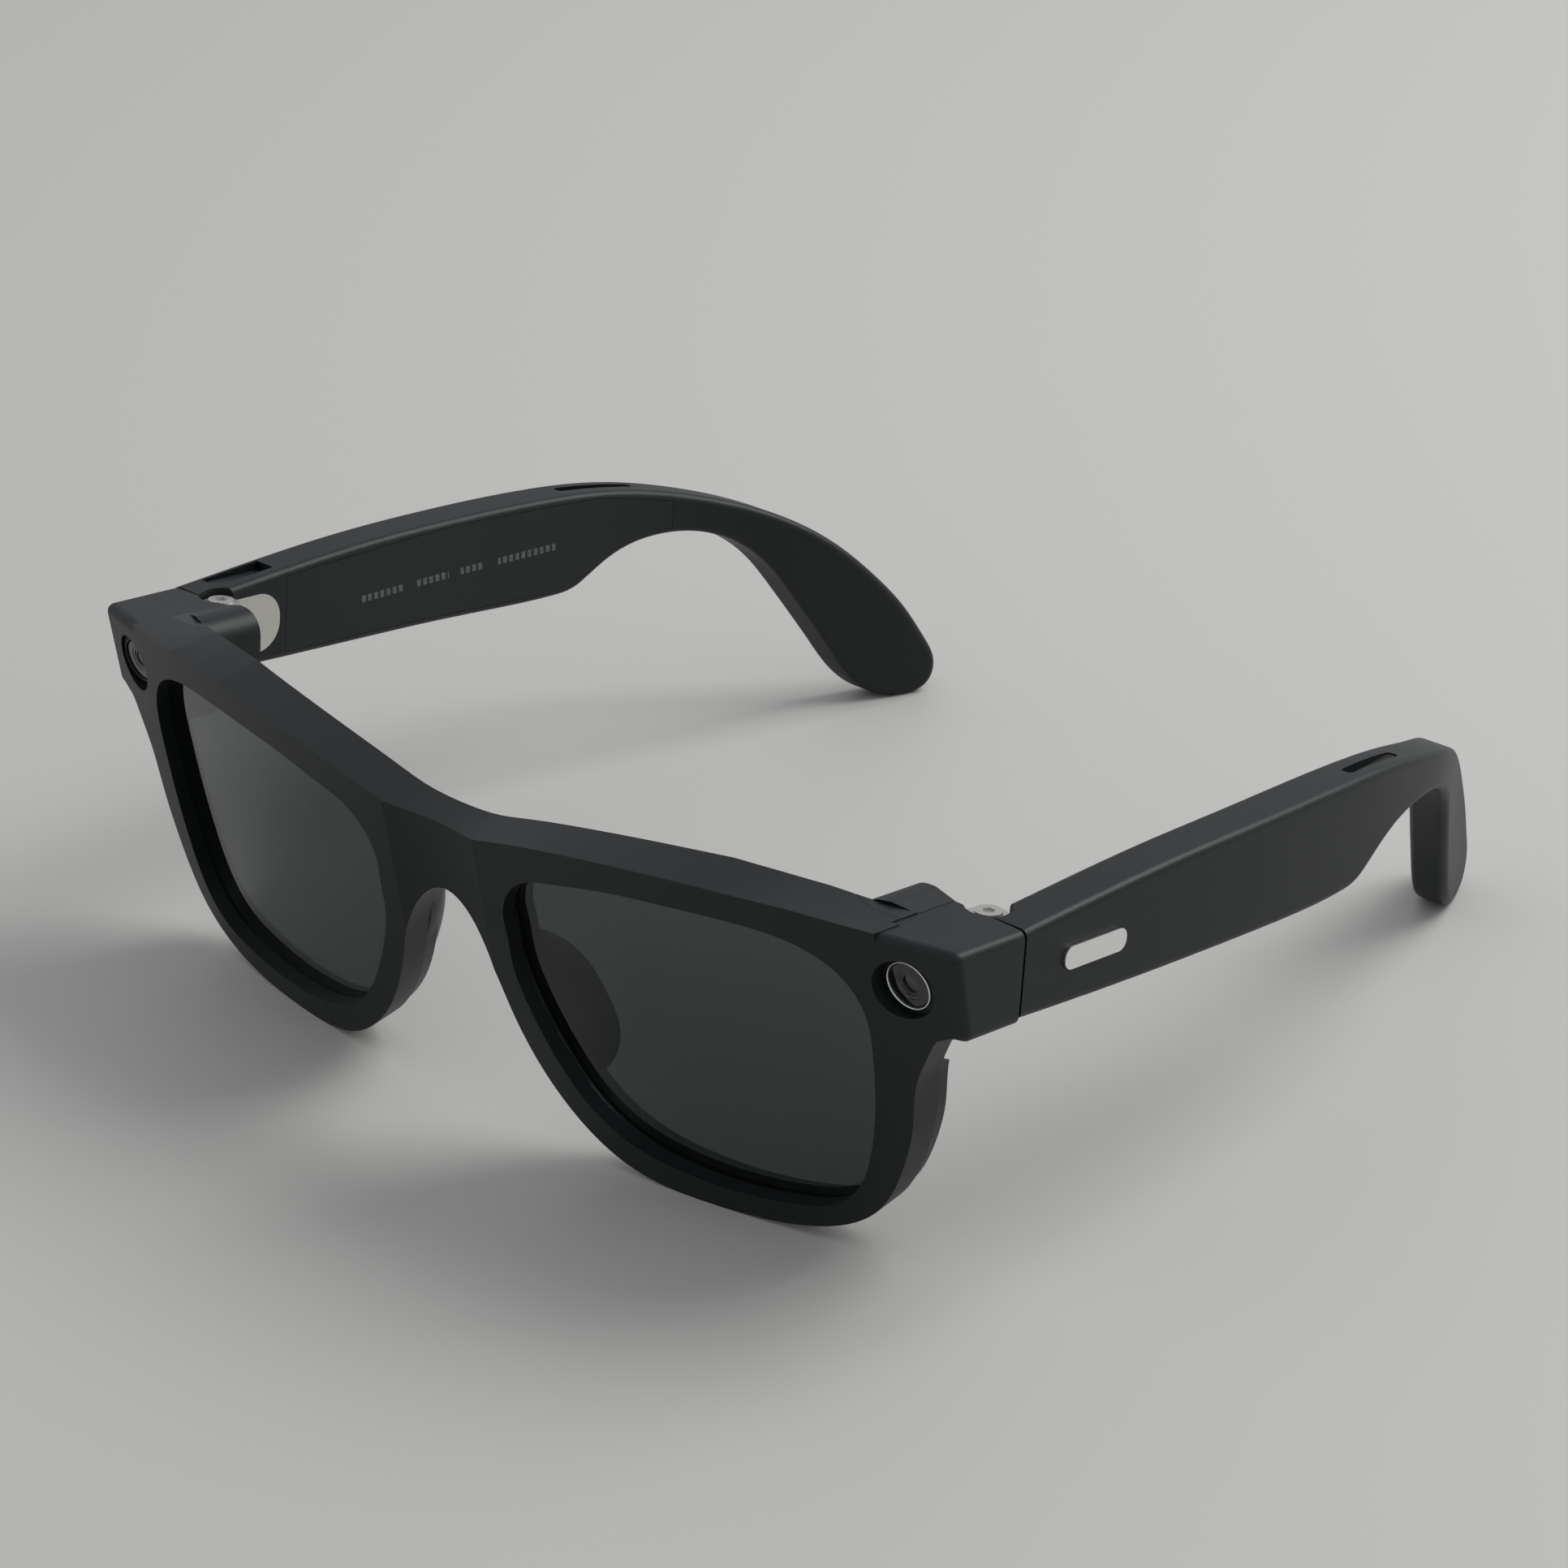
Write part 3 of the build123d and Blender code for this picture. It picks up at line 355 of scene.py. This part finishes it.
def grid_piece(name, points, material, ring):
    """Object from a grid of points (rows, columns, 3) in frame metres, faces outward.

    Columns close on themselves. A ring's rows do too; otherwise both end rows get a cap.
    """
    rows, cols = points.shape[:2]
    index = np.arange(rows * cols).reshape(rows, cols)
    right = np.roll(index, -1, axis=1)
    if ring:
        a, b = index, right
        down_a, down_b = np.roll(a, -1, axis=0), np.roll(b, -1, axis=0)
    else:
        a, b = index[:-1], right[:-1]
        down_a, down_b = index[1:], right[1:]
    quads = np.stack([a, b, down_b, down_a], axis=-1).reshape(-1, 4)
    verts = points.reshape(-1, 3)
    faces = quads.tolist()
    if not ring:
        faces += [index[0][::-1].tolist(), index[-1].tolist()]
    mesh = bpy.data.meshes.new(name)
    mesh.from_pydata(verts.tolist(), [], faces)
    solid = bmesh.new()
    solid.from_mesh(mesh)
    bmesh.ops.recalc_face_normals(solid, faces=solid.faces)
    solid.to_mesh(mesh)
    solid.free()
    mesh.polygons.foreach_set("use_smooth", np.ones(len(mesh.polygons), bool))
    mesh.set_sharp_from_angle(angle=SHARP)
    mesh.materials.append(material)
    mesh.update()
    obj = bpy.data.objects.new(name, mesh)
    bpy.context.scene.collection.objects.link(obj)
    return obj


def turned(name, profile, material, side, ring=False, sides=96):
    """Surface of revolution about the eye's axis.

    Each profile point (radius r, depth d) becomes the circle (r cos t, d, r sin t), t over one
    turn. A ring's profile closes on itself; a disc's ends are small flat caps facing out.
    """
    t = np.linspace(0, 2 * math.pi, sides, endpoint=False)
    r, d = np.array(profile, float).T
    p = np.stack([r[:, None] * np.cos(t), np.repeat(d[:, None], sides, 1),
                  r[:, None] * np.sin(t)], -1)
    p = table(eye_place(p.reshape(-1, 3), side)).reshape(p.shape)
    return grid_piece(name, p, material, ring)


def ring_profile():
    """Section of the trim ring: straight walls with a round nose towards the front."""
    inner, outer, nose = EYE_R + RING_PLAY, RING_R, RING_NOSE
    turn = np.linspace(math.pi, 0, 9)
    mid = (inner + outer) / 2
    front = np.stack([mid + (outer - mid) * np.cos(turn), EYE_SET + nose - nose * np.sin(turn)], 1)
    return np.concatenate([front, [(outer, EYE_SET + RING_DEEP), (inner, EYE_SET + RING_DEEP)]])


def glass_profile(dome):
    """Section of a cover glass from the middle out: dome, stepped rings, flat, chamfer, wall."""
    face, back = EYE_SET + GLASS_SET, EYE_SET + GLASS_BACK
    r = np.linspace(POLE_R, LENS_R, 10)
    middle = np.stack([r, face + 0.34 - dome * (1 - (r / LENS_R) ** 2)], 1)
    steps = [(1.2, face + 0.22), (1.45, face + 0.22), (1.5, face + 0.12), (1.85, face + 0.1),
             (1.9, face + 0.02), (EYE_R - 0.12, face), (EYE_R, face + 0.1), (EYE_R, back),
             (POLE_R, back)]
    return np.concatenate([middle, steps])


class GLASSES_OT_eyes(Operator):
    """Trim rings and cover glasses of the camera and the status light"""
    bl_idname = "glasses.eyes"
    bl_label = "Camera and light"

    def execute(self, context):
        eyes = ((1, "camera", "bright_ring", 0.22), (-1, "light", "dark_ring", 0.05))
        for side, eye, ring_slot, dome in eyes:
            ring = turned(eye + "_trim", ring_profile(), FINISH[ring_slot], side, ring=True)
            glass = turned(eye + "_glass", glass_profile(dome), FINISH["eye_glass"], side)
            for obj, node, slot in ((ring, eye + "_ring", ring_slot),
                                    (glass, eye + "_window", "eye_glass")):
                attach(obj, "front")
                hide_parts(node)
        return {"FINISHED"}


def table(points):
    """Part millimetres to frame metres, for an array of points."""
    return (np.asarray(points, float) + ORIGIN) * MM


# ---- settings -----------------------------------------------------------------------------
class GlassesLook(PropertyGroup):
    """Sizes and colours that a user would change."""
    body_colour: FloatVectorProperty(
        name="Frame colour", description="Darker tone of the moulded frame", subtype="COLOR",
        default=(0.0028, 0.0046, 0.0055), min=0, max=1)
    body_light: FloatVectorProperty(
        name="Frame colour, light", description="Lighter tone of the moulded frame",
        subtype="COLOR", default=(0.0042, 0.0066, 0.0078), min=0, max=1)
    body_gloss: FloatProperty(
        name="Frame roughness", description="Roughness of the moulded frame", default=0.42,
        min=0.05, max=1, subtype="FACTOR")
    lens_tint: FloatVectorProperty(
        name="Lens tint", description="Colour that the lens lets through", subtype="COLOR",
        default=(0.05, 0.066, 0.064), min=0, max=1)
    floor_colour: FloatVectorProperty(
        name="Floor colour", description="Colour of the table top", subtype="COLOR",
        default=(0.56, 0.55, 0.53), min=0, max=1)
    key_power: FloatProperty(
        name="Key light", description="Power of the large soft light", default=9.5, unit="POWER",
        min=0)


def look():
    """The scene's settings for the glasses."""
    return bpy.context.scene.glasses_look


class GLASSES_OT_finishes(Operator):
    """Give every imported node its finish"""
    bl_idname = "glasses.finishes"
    bl_label = "Finishes"

    def execute(self, context):
        make_finishes(look())
        slots = {s["node"]: s["material_slot"] for s in frame["record"]["subparts"]}
        for name, obj in frame["nodes"].items():
            obj.data.materials.clear()
            obj.data.materials.append(FINISH[slots[name]])
        printed = printed_plastic("inner_print", *rear_tones(look()),
                                  look().body_gloss - REAR_SMOOTHER, PRINT_INK)
        frame["nodes"]["temple_cover_right"].data.materials[0] = printed
        return {"FINISHED"}


class GLASSES_OT_stage(Operator):
    """Lay the pale floor, set the lights and the camera"""
    bl_idname = "glasses.stage"
    bl_label = "Stage"

    def execute(self, context):
        scene = context.scene
        half = 3.0
        mesh = bpy.data.meshes.new("floor")
        mesh.from_pydata([(-half, -half, 0), (half, -half, 0), (half, half, 0), (-half, half, 0)],
                         [], [(0, 1, 2, 3)])
        floor = bpy.data.objects.new("floor", mesh)
        scene.collection.objects.link(floor)
        mat, nodes, link, shader = plain_material("table_top", ior=1.45)
        shader.inputs["Base Color"].default_value = (*look().floor_colour, 1)
        shader.inputs["Roughness"].default_value = 0.55
        mesh.materials.append(mat)
        world = bpy.data.worlds.new("soft_room")
        world.use_nodes = True
        world.node_tree.nodes["Background"].inputs["Color"].default_value = WORLD_COLOUR
        world.node_tree.nodes["Background"].inputs["Strength"].default_value = WORLD_POWER
        scene.world = world
        add_light("key", KEY_AT, KEY_AIM, KEY_SIZE, look().key_power)
        add_camera(scene)
        scene.view_settings.view_transform = "Standard"
        return {"FINISHED"}


def add_light(name, place, aim, size, power):
    """Square area light aimed at a point."""
    data = bpy.data.lights.new(name, "AREA")
    data.shape = "SQUARE"
    data.size = size
    data.energy = power
    lamp = bpy.data.objects.new(name, data)
    lamp.matrix_world = Matrix.Translation(place) @ (
        (Vector(place) - Vector(aim)).to_track_quat("Z", "Y").to_matrix().to_4x4())
    bpy.context.scene.collection.objects.link(lamp)
    return lamp


def add_camera(scene):
    """Camera at the height and turn from which the glasses are seen, at about 0.62 m."""
    place = table(CAMERA_AT)
    turn, rise, roll = (math.radians(angle) for angle in CAMERA_TURNS)
    right = Vector((math.cos(turn), math.sin(turn), 0))
    back = Vector((math.sin(turn) * math.cos(rise), -math.cos(turn) * math.cos(rise),
                   math.sin(rise)))
    up = back.cross(right)
    axis_x = right * math.cos(roll) + up * math.sin(roll)
    axis_y = up * math.cos(roll) - right * math.sin(roll)
    basis = Matrix((axis_x, axis_y, back)).transposed().to_4x4()
    data = bpy.data.cameras.new("camera")
    data.sensor_width = 36.0
    data.lens = CAMERA_LENS
    data.clip_start = 0.01
    data.clip_end = 50
    camera = bpy.data.objects.new("camera", data)
    camera.matrix_world = Matrix.Translation(place) @ basis
    scene.collection.objects.link(camera)
    scene.camera = camera


class GLASSES_PT_panel(Panel):
    """Lists the operators of the glasses"""
    bl_label = "Smart glasses"
    bl_idname = "GLASSES_PT_panel"
    bl_space_type = "VIEW_3D"
    bl_region_type = "UI"
    bl_category = "Glasses"

    def draw(self, context):
        layout = self.layout
        settings = context.scene.glasses_look
        for field in settings.__annotations__:
            layout.prop(settings, field)
        for operator in OPERATORS:
            layout.operator(operator.bl_idname)


OPERATORS = (GLASSES_OT_finishes, GLASSES_OT_eyes, GLASSES_OT_stage)
CLASSES = (GlassesLook,) + OPERATORS + (GLASSES_PT_panel,)


def register():
    """Register the classes and hang the settings on the scene."""
    for item in CLASSES:
        bpy.utils.register_class(item)
    bpy.types.Scene.glasses_look = PointerProperty(type=GlassesLook)


def unregister():
    """Take the settings and classes away again."""
    del bpy.types.Scene.glasses_look
    for item in reversed(CLASSES):
        bpy.utils.unregister_class(item)


def main():
    """Build the whole object in order."""
    register()
    for operator in OPERATORS:
        group, name = operator.bl_idname.split(".")
        getattr(getattr(bpy.ops, group), name)()


if __name__ == "__main__":
    main()
